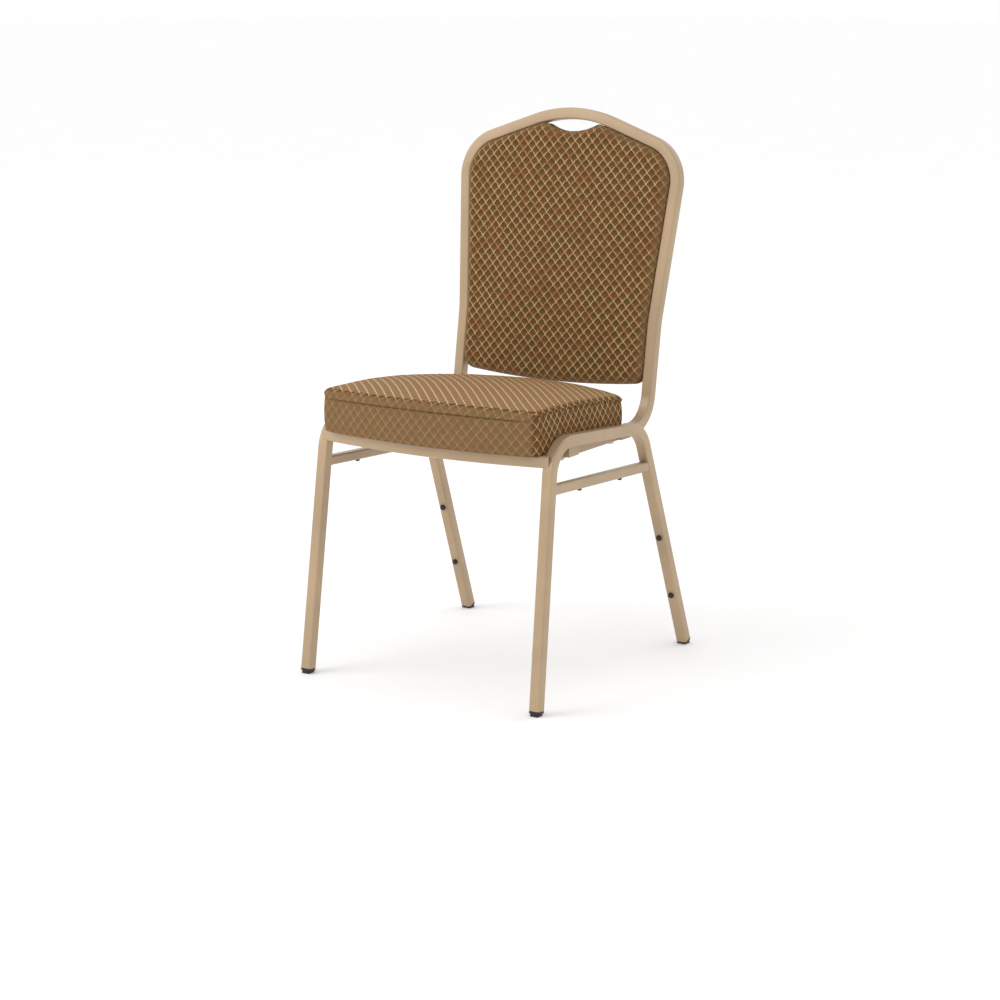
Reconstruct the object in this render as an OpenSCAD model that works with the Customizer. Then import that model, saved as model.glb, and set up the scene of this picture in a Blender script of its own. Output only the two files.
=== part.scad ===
// Stacking banquet chair: two bent leg frames, a back hoop that runs forward under the seat,
// a bowed front rail, and an upholstered seat and back.
// Millimetres, +Z up. The chair faces -Y, and the origin is on the floor midway between its feet.

/* [Frame tube] */
// Outside size of the square frame tube
tube_w = 19; // [17:0.5:21]
// Wall of the frame tube
tube_wall = 1.5; // [1:0.1:2]
// Outside corner radius of the frame tube
tube_corner_r = 3; // [2:0.5:4]
// Centreline radius of the four bends in the leg frames
leg_bend_r = 55; // [45:1:65]

/* [Leg frames] */
// Distance between the two side rails, on their centrelines
frame_w = 433; // [400:1:480]
// Distance between the front and rear feet, on their centrelines
foot_depth = 497; // [460:1:540]
// Height of the side rails, midway between the feet
rail_h = 415; // [395:1:470]
// Forward lean of the front legs in degrees
front_lean = 7.5; // [5:0.5:9]
// Backward lean of the rear legs in degrees
rear_lean = 21; // [17:0.5:23]
// Fall of the side rails towards the back in degrees
rail_fall = 4.3; // [3:0.1:6]
// Outward splay of the leg frames in degrees
splay = 1.1; // [0:0.1:2]

/* [Side bars] */
// Outside size of the square side bars
bar_w = 16; // [14:0.5:17]
// Height of the side bars, midway between the feet
bar_h = 345; // [320:1:360]
// Fall of the side bars towards the back in degrees
bar_fall = 2.9; // [0:0.1:4]

/* [Seat frame] */
// How far the top of the seat frame lies below the middle of the side rails
seat_drop = 5; // [3:0.5:8]
// Forward bow of the front rail at its middle
front_bow = 26; // [15:1:32]
// Gap between a seat runner and the side rail next to it
runner_gap = 8; // [6:0.5:12]
// Distance of the rear cross rail behind the middle of the feet
cross_rail_y = 75; // [60:1:85]

/* [Back hoop] */
// Height of the top of the chair
total_h = 920; // [860:1:980]
// Recline of the back in degrees
back_recline = 9; // [7:0.5:11]
// Distance of the back's foot behind the middle of the feet, on the centrelines
back_y = 162; // [150:1:170]
// Centreline radius of the bend from an upright to its runner
back_bend_r = 57; // [50:1:65]
// Outward flare of the uprights in degrees
flare = 4.7; // [3:0.1:6]
// Height along the back at which the flare begins
flare_start = 160; // [140:1:180]
// Centreline radius of the bend that starts the flare
flare_bend_r = 300; // [200:10:400]
// Centreline radius of the shoulders
shoulder_r = 72; // [60:1:80]
// Slope of the shoulder lines in degrees
shoulder_slope = 19.5; // [15:0.5:22]
// Centreline radius of the crown
crown_r = 226; // [200:1:260]

/* [Seat] */
// How far the seat's sides stand outside the runners' centrelines
seat_overhang = 16; // [10:0.5:16]
// Thickness of the seat board
seat_board_t = 10; // [8:0.5:14]
// Height of the cushion's side edge above the seat frame, at its front
seat_edge_h = 71; // [55:1:80]
// Radius of the crowned seat top
seat_crown_r = 1760; // [1400:10:2200]
// Reach of the seat in front of the middle of the feet
seat_front = 247; // [235:1:250]
// Reach of the seat behind the middle of the feet
seat_rear = 118; // [100:1:122]
// Bow of the seat's front edge
seat_front_bow = 23; // [10:1:30]
// Bow of the seat's rear edge
seat_rear_bow = 62; // [40:1:70]
// Radius of the seat's upright corners
seat_corner_r = 17; // [12:1:30]
// Depth of the top cover's edge, down to its seam
seat_seam_drop = 15; // [12:1:25]

/* [Back pad] */
// Clear gap between the pad and the hoop
pad_gap = 0.6; // [0.4:0.1:2]
// Height of the pad's bottom edge above the back's foot, at its middle
pad_bottom = 56; // [52:1:75]
// Downward bow of the pad's bottom edge
pad_bottom_bow = 12; // [5:1:20]
// Radius of the pad's bottom corners
pad_corner_r = 24; // [12:1:35]
// How far the pad's front stands proud of the tube's front
pad_front = 13; // [8:0.5:18]
// Thickness of the back board
back_board_t = 8; // [6:0.5:9]
// Width of the hand-hold under the crown
hand_hold_w = 126; // [100:1:140]
// Height of the hand-hold under the crown
hand_hold_h = 21; // [18:1:28]

/* [Upholstery] */
// Thickness of the cover cloth with its lining
cover_t = 1.5; // [1:0.1:2]
// Thickness of the dust cloth under the seat
dust_cloth_t = 0.8; // [0.5:0.1:1.2]
// Thickness of the rear panel of the back
rear_panel_t = 3; // [2.5:0.5:4]

/* [Feet and bumpers] */
// Height of the foot caps, measured along the leg
cap_h = 8; // [6:0.5:12]
// Length of a cap's plug inside the leg
cap_plug_l = 22; // [15:1:30]
// Step in from the cap's side to its sole
cap_step = 1.5; // [1:0.5:3]
// Diameter of the bumpers on the rear legs
leg_bumper_d = 10; // [8:0.5:12]
// Height of the bumpers on the rear legs
leg_bumper_h = 5; // [3:0.5:7]
// Distance of the lower leg bumper from the floor, along the leg
leg_bumper_low = 107; // [90:1:130]
// Distance of the upper leg bumper from the floor, along the leg
leg_bumper_high = 225; // [200:1:250]
// Diameter of the bumpers under the side bars
bar_bumper_d = 8; // [6:0.5:10]
// Height of the bumpers under the side bars
bar_bumper_h = 4; // [2:0.5:6]

/* [Fasteners] */
// Diameter of the machine screws
screw_d = 6; // [5:0.5:6]
// Clearance around a screw or stem in its hole, on the diameter
hole_clearance = 0.6; // [0.4:0.1:1]
// Diameter of the screw heads
screw_head_d = 12; // [11:0.5:14]
// Height of the screw heads
screw_head_h = 3.5; // [3:0.5:4]
// Outside diameter of a T-nut's barrel
nut_barrel_d = 8; // [7.5:0.5:9]
// Diameter of a T-nut's flange
nut_flange_d = 18; // [16:0.5:22]
// Thickness of a T-nut's flange
nut_flange_t = 1.4; // [1:0.1:1.6]
// Thickness of the steel tabs that hold the back board
tab_t = 3; // [2.5:0.5:4]
// Reach of a back tab inside the hoop
tab_reach = 26; // [22:1:32]
// Height of a back tab
tab_h = 32; // [26:1:40]

/* [Hidden] */

$fn = 64;
left = -1;
right = 1;
// Overrun of a piece before it is cut to fit against another
overrun = 4;
// Hairline between two stretches of one tube, which a ring inside the wall joins
hairline = 0.01;
ring_l = 1;
frame_colour = "burlywood";
cloth_colour = "peru";
rubber_colour = "dimgray";

// A pose is a point and a heading in a flat plane. A stretch is its length, bend radius and turn:
// a straight stretch has no radius, and a turn to the left is positive.
function ahead(p, heading, distance) =
    [p.x + distance * cos(heading), p.y + distance * sin(heading)];
function meeting(p, a, q, b) =
    ahead(p, a, ((q.x - p.x) * sin(b) - (q.y - p.y) * cos(b)) / sin(b - a));
function bend_centre(pose, stretch) =
    ahead(pose, pose.z + 90 * sign(stretch.z), stretch.y);
function stretch_end(pose, stretch) =
    stretch.y == 0
        ? concat(ahead(pose, pose.z, stretch.x), pose.z)
        : concat(
            ahead(bend_centre(pose, stretch), pose.z + stretch.z - 90 * sign(stretch.z), stretch.y),
            pose.z + stretch.z);
function poses(start, path, i = 0) =
    i == len(path)
        ? [start]
        : concat([start], poses(stretch_end(start, path[i]), path, i + 1));

// Points along one edge of a path, offset to the right of its heading
function edge_points(start, path, offset, steps = 10) =
    let (at = poses(start, path))
    [for (i = [0 : len(path) - 1])
        for (k = [0 : path[i].y == 0 ? 0 : steps])
            let (part = concat(path[i].x, path[i].y, path[i].z * k / steps))
            let (pose = path[i].y == 0 || k == 0 ? at[i] : stretch_end(at[i], part))
            ahead(pose, pose.z - 90, offset)];

// Radius of an arc from half its chord and its bow
function bow_radius(half_chord, bow) = (half_chord * half_chord + bow * bow) / (2 * bow);

half = tube_w / 2;

module rounded_square(size, r) {
    square([size, size - 2 * r], center = true);
    square([size - 2 * r, size], center = true);
    for (x = [-1, 1], y = [-1, 1]) {
        translate([x, y] * (size / 2 - r))
            circle(r, $fn = 24);
    }
}

// The tube's section from a depth inside its outer face to another
module wall_section(size, from, to) {
    difference() {
        rounded_square(size - 2 * from, tube_corner_r - from);
        rounded_square(size - 2 * to, max(0.4, tube_corner_r - to));
    }
}

module tube_section(size, solid) {
    if (solid)
        rounded_square(size, tube_corner_r);
    else
        wall_section(size, 0, tube_wall);
}

module joining_ring(pose, size) {
    translate([pose.x, pose.y, 0])
        rotate([0, 0, pose.z])
            translate([-ring_l / 2, 0, 0])
                rotate([90, 0, 90])
                    linear_extrude(ring_l)
                        wall_section(size, tube_wall / 3, tube_wall * 2 / 3);
}

// Tube along a path in the XY plane
module tube_along(start, path, size = tube_w, solid = false) {
    at = poses(start, path);
    if (!solid && len(path) > 1) {
        for (i = [1 : len(path) - 1]) {
            joining_ring(at[i], size);
        }
    }
    for (i = [0 : len(path) - 1]) {
        translate([at[i].x, at[i].y, 0])
            rotate([0, 0, at[i].z])
                if (path[i].y == 0) {
                    before = i > 0 ? hairline : 0;
                    after = i < len(path) - 1 ? hairline : 0;
                    translate([before, 0, 0])
                        rotate([90, 0, 90])
                            linear_extrude(path[i].x - before - after)
                                tube_section(size, solid);
                } else {
                    turn = abs(path[i].z);
                    side = sign(path[i].z);
                    translate([0, side * path[i].y, 0])
                        rotate([0, 0, side > 0 ? -90 : 90 - turn])
                            rotate_extrude(angle = turn, $fn = 96)
                                translate([path[i].y, 0])
                                    tube_section(size, solid);
                }
    }
}

// Stands a flat drawing upright: its X runs back along +Y, and its Y runs up
module stand_up() {
    rotate([90, 0, 90])
        children();
}

module on_side(side) {
    mirror([side < 0 ? 1 : 0, 0, 0])
        children();
}

// Places a leg frame's flat drawing at one side of the chair, with its splay
module leg_plane(side) {
    on_side(side)
        translate([frame_w / 2, 0, rail_h])
            rotate([0, -splay, 0])
                translate([0, 0, -rail_h])
                    stand_up()
                        children();
}

// ---- Leg frames ----
front_foot = [-foot_depth / 2, 0];
rear_foot = [foot_depth / 2, 0];
front_up = 90 - front_lean;
rear_up = 90 + rear_lean;
rail_mid = [0, rail_h];
front_knee = meeting(front_foot, front_up, rail_mid, -rail_fall);
rear_knee = meeting(rear_foot, rear_up, rail_mid, -rail_fall);
front_turn = front_up + rail_fall;
rear_turn = 180 - rear_up - rail_fall;
front_tangent = leg_bend_r * tan(front_turn / 2);
rear_tangent = leg_bend_r * tan(rear_turn / 2);
leg_start = concat(ahead(front_foot, front_up, cap_h), front_up);
leg_path = [
    [norm(front_knee - front_foot) - front_tangent - cap_h, 0, 0],
    [0, leg_bend_r, -front_turn],
    [norm(rear_knee - front_knee) - front_tangent - rear_tangent, 0, 0],
    [0, leg_bend_r, -rear_turn],
    [norm(rear_knee - rear_foot) - rear_tangent - cap_h, 0, 0]
];
rear_down = rear_up - 180;
stem_d = 4;
stem_l = 5;

module bumper(d, h) {
    cylinder(d = d, h = h * 0.6);
    translate([0, 0, h * 0.6])
        cylinder(d1 = d, d2 = d * 0.7, h = h * 0.4);
    translate([0, 0, -stem_l])
        cylinder(d = stem_d, h = stem_l + h / 2);
}

module stem_hole() {
    translate([0, 0, -stem_l - 1])
        cylinder(d = stem_d + hole_clearance, h = stem_l + 2);
}

// Turns a bumper's axis to stand out of a tube's lower side at a point of the drawing
module under_tube(point, heading, size) {
    translate([point.x, point.y, 0])
        rotate([0, 0, heading - 90])
            rotate([0, 90, 0])
                translate([0, 0, size / 2])
                    children();
}

module at_leg_bumpers() {
    for (distance = [leg_bumper_low, leg_bumper_high]) {
        under_tube(ahead(rear_foot, rear_up, distance), rear_down, tube_w)
            children();
    }
}

module leg_outline(side, solid = true) {
    leg_plane(side)
        tube_along(leg_start, leg_path, solid = solid);
}

module side_frame(side) {
    color(frame_colour)
        difference() {
            leg_outline(side, solid = false);
            leg_plane(side)
                at_leg_bumpers()
                    stem_hole();
        }
}

module leg_bumpers(side) {
    color(rubber_colour)
        leg_plane(side)
            at_leg_bumpers()
                bumper(leg_bumper_d, leg_bumper_h);
}

module foot(side, point, up) {
    cap_reach = cap_h + tube_w;
    plug_w = tube_w - 2 * tube_wall - hole_clearance;
    color(rubber_colour)
        difference() {
            leg_plane(side)
                translate([point.x, point.y, 0])
                    rotate([0, 0, up])
                        rotate([0, 90, 0]) {
                            translate([0, 0, cap_h / 2])
                                linear_extrude(cap_h / 2)
                                    tube_section(tube_w, true);
                            translate([0, 0, cap_h - cap_reach])
                                linear_extrude(cap_reach - cap_h / 2)
                                    tube_section(tube_w - 2 * cap_step, true);
                            translate([0, 0, cap_h])
                                linear_extrude(cap_plug_l)
                                    square(plug_w, center = true);
                        }
            translate([-frame_w, -foot_depth, -100])
                cube([2 * frame_w, 2 * foot_depth, 100]);
        }
}

// ---- Side bars ----
bar_mid = [0, bar_h];
bar_front = meeting(front_foot, front_up, bar_mid, -bar_fall);
bar_rear = meeting(rear_foot, rear_up, bar_mid, -bar_fall);
bar_path = [[norm(bar_rear - bar_front), 0, 0]];
bar_bumper_inset = 95;

module at_bar_bumpers() {
    for (distance = [bar_bumper_inset, bar_path[0].x - bar_bumper_inset]) {
        under_tube(ahead(bar_front, -bar_fall, distance), -bar_fall, bar_w)
            children();
    }
}

module side_bar(side) {
    color(frame_colour)
        difference() {
            leg_plane(side)
                tube_along(concat(bar_front, -bar_fall), bar_path, size = bar_w);
            leg_outline(side);
            leg_plane(side)
                at_bar_bumpers()
                    stem_hole();
        }
}

module bar_bumpers(side) {
    color(rubber_colour)
        leg_plane(side)
            at_bar_bumpers()
                bumper(bar_bumper_d, bar_bumper_h);
}

// ---- Seat frame ----
seat_frame_top = rail_h - seat_drop;
runner_z = seat_frame_top - half;
runner_x = frame_w / 2 - tube_w - runner_gap;
rail_end = ahead(front_foot, front_up, runner_z / cos(front_lean));
rail_chord = frame_w / 2;
front_rail_r = bow_radius(rail_chord, front_bow);
front_rail_y = rail_end.x - front_bow;
function front_rail_y_at(x) =
    front_rail_y + front_rail_r - sqrt(front_rail_r * front_rail_r - x * x);

module front_rail_arc(solid) {
    sweep = 2 * asin(rail_chord / front_rail_r);
    translate([0, front_rail_y + front_rail_r, runner_z])
        rotate([0, 0, 270 - sweep / 2])
            rotate_extrude(angle = sweep, $fn = 240)
                translate([front_rail_r, 0])
                    tube_section(tube_w, solid);
}

module front_rail() {
    color(frame_colour)
        difference() {
            front_rail_arc(false);
            leg_outline(left);
            leg_outline(right);
        }
}

module rear_cross_rail() {
    length = 2 * runner_x - tube_w;
    color(frame_colour)
        translate([-length / 2, cross_rail_y, runner_z])
            rotate([90, 0, 90])
                linear_extrude(length)
                    tube_section(tube_w, false);
}

spacer_l = 30;
spacer_places = [-110, 60];

module spacer_blocks(side) {
    inner_x = runner_x + half - 1;
    reach = runner_gap + 3;
    color(frame_colour)
        difference() {
            on_side(side)
                for (y = spacer_places) {
                    low = runner_z - half + tube_corner_r;
                    high = rail_h - y * tan(rail_fall) + half - tube_corner_r;
                    translate([inner_x, y - spacer_l / 2, low])
                        cube([reach, spacer_l, high - low]);
                }
            leg_outline(side);
            runners(solid = true);
        }
}

// ---- Back hoop ----
// The back's own plane has its origin where an upright's centreline would meet its runner's.
// Its X is the chair's, its Y runs up the recline, and its Z points out of the back's front.
crown_top = (total_h - runner_z - tube_corner_r
    - (half - tube_corner_r) * (cos(back_recline) + sin(back_recline))) / cos(back_recline);
back_turn = 90 - back_recline;
back_tangent = back_bend_r * tan(back_turn / 2);
flare_drop = flare_bend_r * sin(flare);
shoulder_turn = 90 - shoulder_slope + flare;
crown_end = stretch_end([0, crown_top, 0], [0, crown_r, -shoulder_slope]);
shoulder_step = [
    shoulder_r * (cos(flare) - sin(shoulder_slope)),
    -shoulder_r * (cos(shoulder_slope) + sin(flare))
];
// Where the straight part of the flared upright ends, at its foot
flare_foot = [
    runner_x + flare_bend_r * (1 - cos(flare)),
    flare_start + flare_drop
];
// The shoulder line's length puts the flared upright on that point
shoulder_l = (flare_foot.x - crown_end.x - shoulder_step.x
    + (crown_end.y + shoulder_step.y - flare_foot.y) * tan(flare))
    / (cos(shoulder_slope) + sin(shoulder_slope) * tan(flare));
upright_l = (crown_end.y - shoulder_l * sin(shoulder_slope) + shoulder_step.y - flare_foot.y)
    / cos(flare);
hoop_start = [-runner_x, back_tangent + hairline, 90];
hoop_rise = [
    [flare_start - back_tangent - hairline, 0, 0],
    [0, flare_bend_r, flare],
    [upright_l, 0, 0],
    [0, shoulder_r, -shoulder_turn],
    [shoulder_l, 0, 0]
];
hoop_path = concat(
    hoop_rise,
    [[0, crown_r, -2 * shoulder_slope]],
    [for (i = [len(hoop_rise) - 1 : -1 : 0]) hoop_rise[i]]
);
runner_start = concat(
    ahead([back_y, runner_z], 90 - back_recline, back_tangent), 270 - back_recline);
runner_path = [
    [0, back_bend_r, -back_turn],
    [back_y - back_tangent - front_rail_y_at(runner_x), 0, 0]
];

module back_plane() {
    translate([0, back_y, runner_z])
        rotate([90 - back_recline, 0, 0])
            children();
}

module hoop_uprights(solid) {
    back_plane()
        tube_along(hoop_start, hoop_path, solid = solid);
}

module runners(solid) {
    for (side = [left, right]) {
        on_side(side)
            translate([runner_x, 0, 0])
                stand_up() {
                    tube_along(runner_start, runner_path, solid = solid);
                    if (!solid)
                        joining_ring(runner_start, tube_w);
                }
    }
}

seat_screw_places = [-120, 40];

module at_seat_screws() {
    for (side = [left, right], y = seat_screw_places) {
        translate([side * runner_x, y, 0])
            children();
    }
}

// Everything in front of the rail's rear face, which the runners butt against
module front_of_rail_face() {
    translate([0, front_rail_y + front_rail_r, runner_z - tube_w])
        difference() {
            cylinder(r = front_rail_r + tube_w, h = 2 * tube_w, $fn = 240);
            translate([0, 0, -overrun])
                cylinder(r = front_rail_r - half, h = 3 * tube_w, $fn = 240);
        }
}

module back_hoop() {
    color(frame_colour)
        difference() {
            union() {
                hoop_uprights(solid = false);
                runners(solid = false);
            }
            front_of_rail_face();
            at_seat_screws()
                translate([0, 0, runner_z - tube_w])
                    cylinder(d = screw_d + hole_clearance, h = 2 * tube_w);
        }
}

// Heights of the back tabs along the back
tab_places = [0.26, 0.745] * crown_top;
// Half the hoop's clear width at a height in the straight part of the flared upright
function hoop_inner(t) = flare_foot.x + (t - flare_foot.y) * tan(flare) - half / cos(flare);
function tab_screw_x(t) = hoop_inner(t) - tab_reach / 2;

module at_tab_screws(sides = [left, right]) {
    for (side = sides, t = tab_places) {
        back_plane()
            translate([side * tab_screw_x(t), t, 0])
                children();
    }
}

module back_tabs(side) {
    color(frame_colour)
        difference() {
            for (t = tab_places) {
                back_plane()
                    on_side(side)
                        translate([hoop_inner(t) - tab_reach, t - tab_h / 2, -tab_t / 2])
                            cube([tab_reach + overrun, tab_h, tab_t]);
            }
            hoop_uprights(solid = true);
            at_tab_screws([side])
                cylinder(d = screw_d + hole_clearance, h = 2 * tab_t, center = true);
        }
}

// ---- Seat ----
board_bottom = seat_frame_top + dust_cloth_t;
board_top = board_bottom + seat_board_t;
seat_half_w = runner_x + seat_overhang;
seat_front_r = bow_radius(seat_half_w, seat_front_bow);
seat_rear_r = bow_radius(seat_half_w, seat_rear_bow);
// The crown's highest line lies this far in front of the middle of the feet
crown_front = 183;
crown_centre_z = seat_frame_top + seat_edge_h
    - sqrt(seat_crown_r * seat_crown_r - seat_half_w * seat_half_w);
side_gap = 4.5;

module seat_outline(inset = 0) {
    offset(delta = -inset)
        offset(r = seat_corner_r, $fn = 48)
            offset(delta = -seat_corner_r)
                intersection() {
                    translate([0, seat_front_r - seat_front])
                        circle(seat_front_r, $fn = 240);
                    translate([0, seat_rear - seat_rear_r])
                        circle(seat_rear_r, $fn = 120);
                    translate([-seat_half_w, -seat_front - 1])
                        square([2 * seat_half_w, seat_front + seat_rear + 2]);
                }
}

// A round plug under the crowned surface, or one at a depth below it
module crowned_plug(depth) {
    translate([0, -crown_front, crown_centre_z])
        rotate_extrude($fn = 180)
            intersection() {
                circle(seat_crown_r - depth, $fn = 1440);
                translate([0, seat_frame_top - 1 - crown_centre_z])
                    square([2 * seat_half_w, 4 * seat_edge_h]);
            }
}

// The seat's body under its crowned top, from a height up
module seat_body(inset, bottom) {
    intersection() {
        translate([0, 0, bottom])
            linear_extrude(3 * seat_edge_h)
                seat_outline(inset);
        crowned_plug(inset);
    }
}

module seat_shell() {
    difference() {
        seat_body(0, board_bottom);
        seat_body(cover_t, board_bottom - 1);
    }
}

module seat_cover_top() {
    color(cloth_colour)
        difference() {
            seat_shell();
            crowned_plug(seat_seam_drop);
        }
}

module seat_cover_band() {
    color(cloth_colour)
        intersection() {
            seat_shell();
            crowned_plug(seat_seam_drop);
        }
}

nut_pocket_d = nut_flange_d + 2;
nut_pocket_h = nut_flange_t + 1;

module seat_foam() {
    color("beige")
        difference() {
            seat_body(cover_t, board_bottom);
            translate([0, 0, board_bottom - 1])
                linear_extrude(seat_board_t + 1)
                    seat_outline(side_gap + cover_t);
            at_seat_screws()
                translate([0, 0, board_top])
                    cylinder(d = nut_pocket_d, h = nut_pocket_h);
        }
}

module seat_board() {
    color("tan")
        difference() {
            translate([0, 0, board_bottom])
                linear_extrude(seat_board_t)
                    seat_outline(side_gap + cover_t);
            at_seat_screws()
                translate([0, 0, board_bottom - 1])
                    cylinder(d = nut_barrel_d, h = seat_board_t + 2);
        }
}

module seat_dust_cloth() {
    color("black")
        difference() {
            translate([0, 0, seat_frame_top])
                linear_extrude(dust_cloth_t)
                    seat_outline(side_gap + 2 * cover_t);
            at_seat_screws()
                cylinder(d = nut_barrel_d, h = rail_h);
        }
}

// A T-nut stands on its barrel's end, with its flange on top
module t_nut(barrel_l) {
    difference() {
        union() {
            cylinder(d = nut_barrel_d, h = barrel_l);
            translate([0, 0, barrel_l])
                cylinder(d = nut_flange_d, h = nut_flange_t);
        }
        translate([0, 0, -1])
            cylinder(d = screw_d, h = barrel_l + nut_flange_t + 2);
    }
}

// A screw stands on its head's top, with its shank above
module screw(shank_l) {
    difference() {
        union() {
            cylinder(d = screw_head_d, h = screw_head_h);
            cylinder(d = screw_d, h = screw_head_h + shank_l);
        }
        translate([0, 0, -1])
            cylinder(d = 4.6, h = 3, $fn = 6);
    }
}

module seat_t_nuts() {
    color("silver")
        at_seat_screws()
            translate([0, 0, board_bottom])
                t_nut(seat_board_t);
}

module seat_screws() {
    color("silver")
        at_seat_screws()
            translate([0, 0, seat_frame_top - tube_w - screw_head_h])
                screw(tube_w + dust_cloth_t + seat_board_t);
}

staple_l = 10;
staple_t = 0.7;
staples_per_row = 6;
staple_step = 40;

module seat_staples() {
    color("silver")
        for (i = [0 : staples_per_row - 1], y = [-seat_front + 45, cross_rail_y + 22]) {
            translate([(i - (staples_per_row - 1) / 2) * staple_step, y, seat_frame_top - staple_t])
                translate([-staple_l / 2, 0, 0])
                    cube([staple_l, 1, staple_t]);
        }
}

// ---- Back pad ----
board_front = tab_t / 2 + back_board_t;
pad_face = half + pad_front;
rear_panel_back = -half - 0.5;
rear_panel_front = rear_panel_back + rear_panel_t;
pad_circle_r = bow_radius(runner_x, pad_bottom_bow);
hold_top = crown_top - half;
hold_r = bow_radius(hand_hold_w / 2, hand_hold_h);
pad_notch_r = 6;

module hoop_inside(gap) {
    inner_x = runner_x - half - gap;
    polygon(concat(
        edge_points(hoop_start, hoop_path, half + gap),
        [[inner_x, back_tangent], [inner_x, 0], [-inner_x, 0]]
    ));
}

module pad_outline(inset = 0) {
    offset(delta = -inset)
        offset(r = pad_notch_r, $fn = 32)
            offset(delta = -pad_notch_r)
                difference() {
                    offset(r = pad_corner_r, $fn = 48)
                        offset(delta = -pad_corner_r)
                            intersection() {
                                hoop_inside(pad_gap);
                                translate([0, pad_bottom + pad_circle_r])
                                    circle(pad_circle_r, $fn = 360);
                            }
                    translate([0, hold_top - hand_hold_h + hold_r])
                        circle(hold_r, $fn = 96);
                }
}

module pad_slab(back, front, inset) {
    back_plane()
        translate([0, 0, back])
            linear_extrude(front - back)
                pad_outline(inset);
}

module back_board() {
    color("tan")
        difference() {
            pad_slab(tab_t / 2, board_front, side_gap + cover_t);
            at_tab_screws()
                cylinder(d = nut_barrel_d, h = 2 * board_front);
            at_clips()
                cylinder(d = clip_d, h = 2 * board_front);
        }
}

module back_foam() {
    color("beige")
        difference() {
            pad_slab(tab_t / 2, pad_face - cover_t, cover_t);
            pad_slab(0, board_front, side_gap + cover_t);
            at_tab_screws()
                translate([0, 0, board_front])
                    cylinder(d = nut_pocket_d, h = nut_pocket_h);
        }
}

module back_cover_front() {
    color(cloth_colour)
        difference() {
            pad_slab(tab_t / 2, pad_face, 0);
            pad_slab(0, pad_face - cover_t, cover_t);
        }
}

module back_rear_panel() {
    color("tan")
        difference() {
            pad_slab(rear_panel_back, rear_panel_front, 1);
            at_clips()
                translate([0, 0, rear_panel_back - 1])
                    cylinder(d = clip_d, h = rear_panel_t + 2);
        }
}

module back_cover_rear() {
    color(cloth_colour)
        pad_slab(rear_panel_back - 2 * cover_t, rear_panel_back, 0);
}

module back_t_nuts() {
    color("silver")
        at_tab_screws()
            translate([0, 0, tab_t / 2])
                t_nut(back_board_t);
}

module back_screws() {
    color("silver")
        at_tab_screws()
            translate([0, 0, -tab_t / 2 - screw_head_h])
                screw(tab_t + back_board_t);
}

clip_d = 6;
clip_rows = [[0.475, 0.195], [0.58, 0.505], [0.42, 0.795]];
clip_places = [for (row = clip_rows, side = [left, right])
    [side * row.x * runner_x, row.y * crown_top]];

module at_clips() {
    for (place = clip_places) {
        back_plane()
            translate([place.x, place.y, 0])
                children();
    }
}

module rear_panel_clips() {
    color("dimgray")
        at_clips()
            translate([0, 0, rear_panel_back])
                cylinder(d = clip_d, h = board_front - 1 - rear_panel_back);
}

side_frame(left);  // side_frame_left
side_frame(right);  // side_frame_right
back_hoop();
front_rail();
rear_cross_rail();
spacer_blocks(left);  // spacer_blocks_left
spacer_blocks(right);  // spacer_blocks_right
side_bar(left);  // side_bar_left
side_bar(right);  // side_bar_right
back_tabs(left);  // back_tabs_left
back_tabs(right);  // back_tabs_right
foot(left, front_foot, front_up);  // foot_front_left
foot(right, front_foot, front_up);  // foot_front_right
foot(left, rear_foot, rear_up);  // foot_rear_left
foot(right, rear_foot, rear_up);  // foot_rear_right
leg_bumpers(left);  // leg_bumpers_left
leg_bumpers(right);  // leg_bumpers_right
bar_bumpers(left);  // bar_bumpers_left
bar_bumpers(right);  // bar_bumpers_right
seat_board();
seat_foam();
seat_cover_top();
seat_cover_band();
seat_dust_cloth();
seat_t_nuts();
seat_screws();
seat_staples();
back_board();
back_foam();
back_cover_front();
back_rear_panel();
back_cover_rear();
back_t_nuts();
back_screws();
rear_panel_clips();
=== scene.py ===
"""A stacking banquet chair: its painted tube frame, feet, upholstered seat and back."""
import math

import bmesh
import bpy
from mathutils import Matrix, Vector, noise
from mathutils.geometry import convex_hull_2d


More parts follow.
